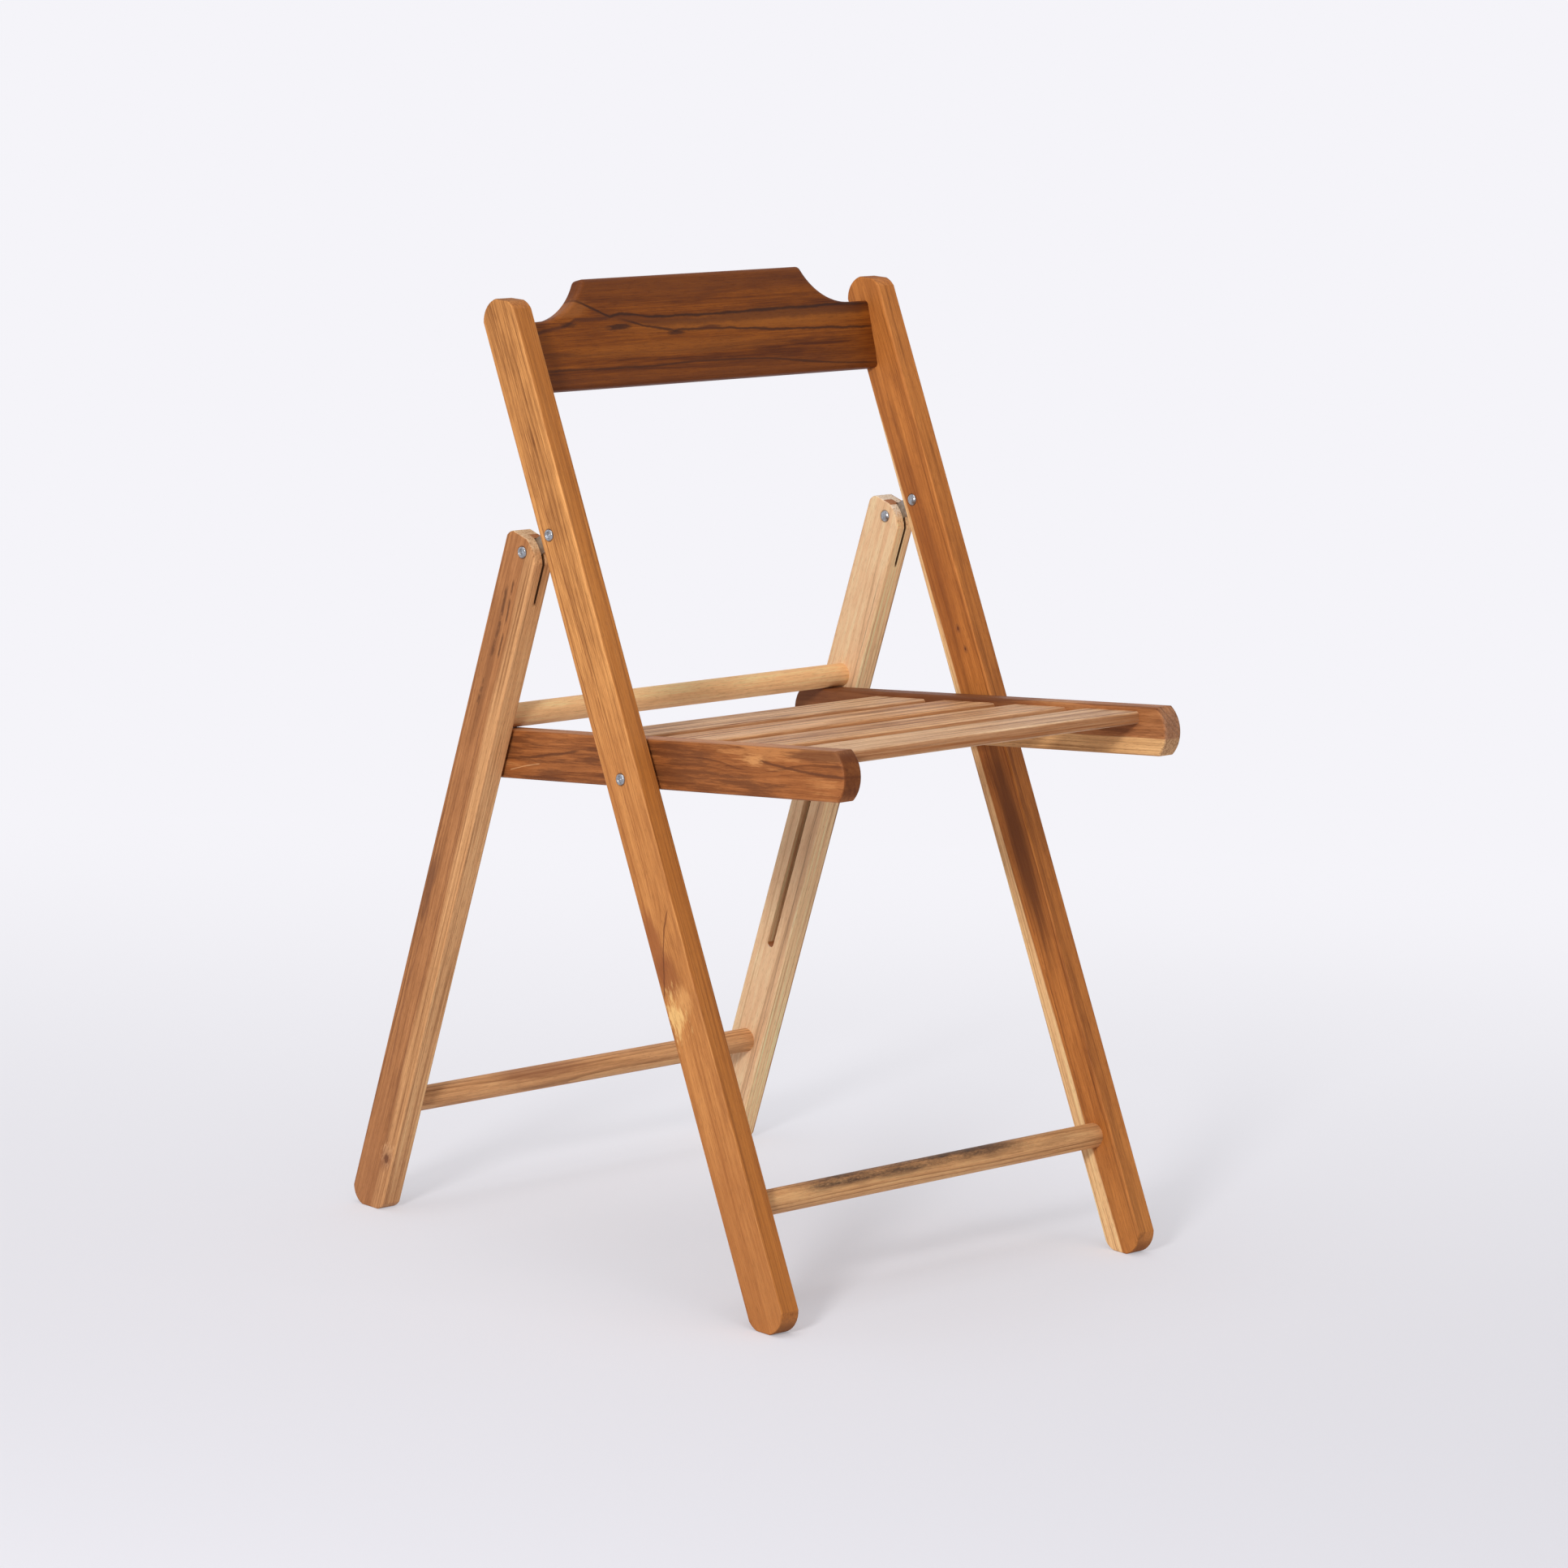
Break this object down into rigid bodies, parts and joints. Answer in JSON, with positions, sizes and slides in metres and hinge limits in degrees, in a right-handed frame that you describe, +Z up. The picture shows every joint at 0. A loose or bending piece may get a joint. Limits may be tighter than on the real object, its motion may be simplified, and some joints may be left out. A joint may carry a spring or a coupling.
{
  "type": "folding chair",
  "caption": "Slatted wooden folding chair: crossed legs joined by round rungs, tilting seat, scooped back rail and riveted link hinges that let it fold flat.",
  "frame": {"origin": "on the floor under the middle of the open chair's bounding box", "axes": "+X to the sitter's left, +Y to the rear, +Z up; a sitter faces -Y"},
  "size_m": [0.4428, 0.551, 0.8046],
  "materials": {
    "front_leg_wood": "oiled hardwood, satin",
    "rear_leg_wood": "oiled hardwood with pale sapwood, satin",
    "rung_wood": "pale turned hardwood, satin",
    "seat_rail_wood": "reddish-brown oiled hardwood, satin",
    "slat_wood": "light pinkish hardwood, satin",
    "back_wood": "dark streaked hardwood, satin",
    "rivet_steel": "bright zinc plate",
    "link_steel": "plain zinc-plated strip",
    "pin_steel": "plain steel"
  },
  "bodies": {
    "front_frame": {"back_rail": "back_wood", "front_hinge_rivet_left": "rivet_steel", "front_hinge_rivet_right": "rivet_steel", "front_leg_left": "front_leg_wood", "front_leg_right": "front_leg_wood", "front_rung": "rung_wood", "pivot_spacer_left": "pin_steel", "pivot_spacer_right": "pin_steel", "seat_pivot_rivet_left": "rivet_steel", "seat_pivot_rivet_right": "rivet_steel"},
    "seat": {"guide_pin_left": "pin_steel", "guide_pin_right": "pin_steel", "seat_rail_left": "seat_rail_wood", "seat_rail_right": "seat_rail_wood", "seat_slat_1": "slat_wood", "seat_slat_2": "slat_wood", "seat_slat_3": "slat_wood", "seat_slat_4": "slat_wood"},
    "hinge_links": {"hinge_link_left": "link_steel", "hinge_link_right": "link_steel"},
    "rear_frame": {"rear_hinge_rivet_left": "rivet_steel", "rear_hinge_rivet_right": "rivet_steel", "rear_leg_left": "rear_leg_wood", "rear_leg_right": "rear_leg_wood", "rear_rung": "rung_wood", "stop_rung": "rung_wood"}
  },
  "joints": [
    {"name": "seat_fold", "type": "hinge", "parent": "front_frame", "child": "seat", "pos_m": [0, -0.04342, 0.4206], "axis": [-1, 0, 0], "range_deg": [0, 101]},
    {"name": "link_swing", "type": "hinge", "parent": "front_frame", "child": "hinge_links", "pos_m": [0, 0.05222, 0.60771], "axis": [1, 0, 0], "range_deg": [0, 42.8]},
    {"name": "rear_fold", "type": "hinge", "parent": "hinge_links", "child": "rear_frame", "pos_m": [0, 0.08409, 0.58931], "axis": [-1, 0, 0], "range_deg": [0, 84.1]}
  ],
  "couplings": [
    {"joint": "link_swing", "follows": "seat_fold", "ratio": 0.4232},
    {"joint": "rear_fold", "follows": "seat_fold", "ratio": 0.8321}
  ]
}
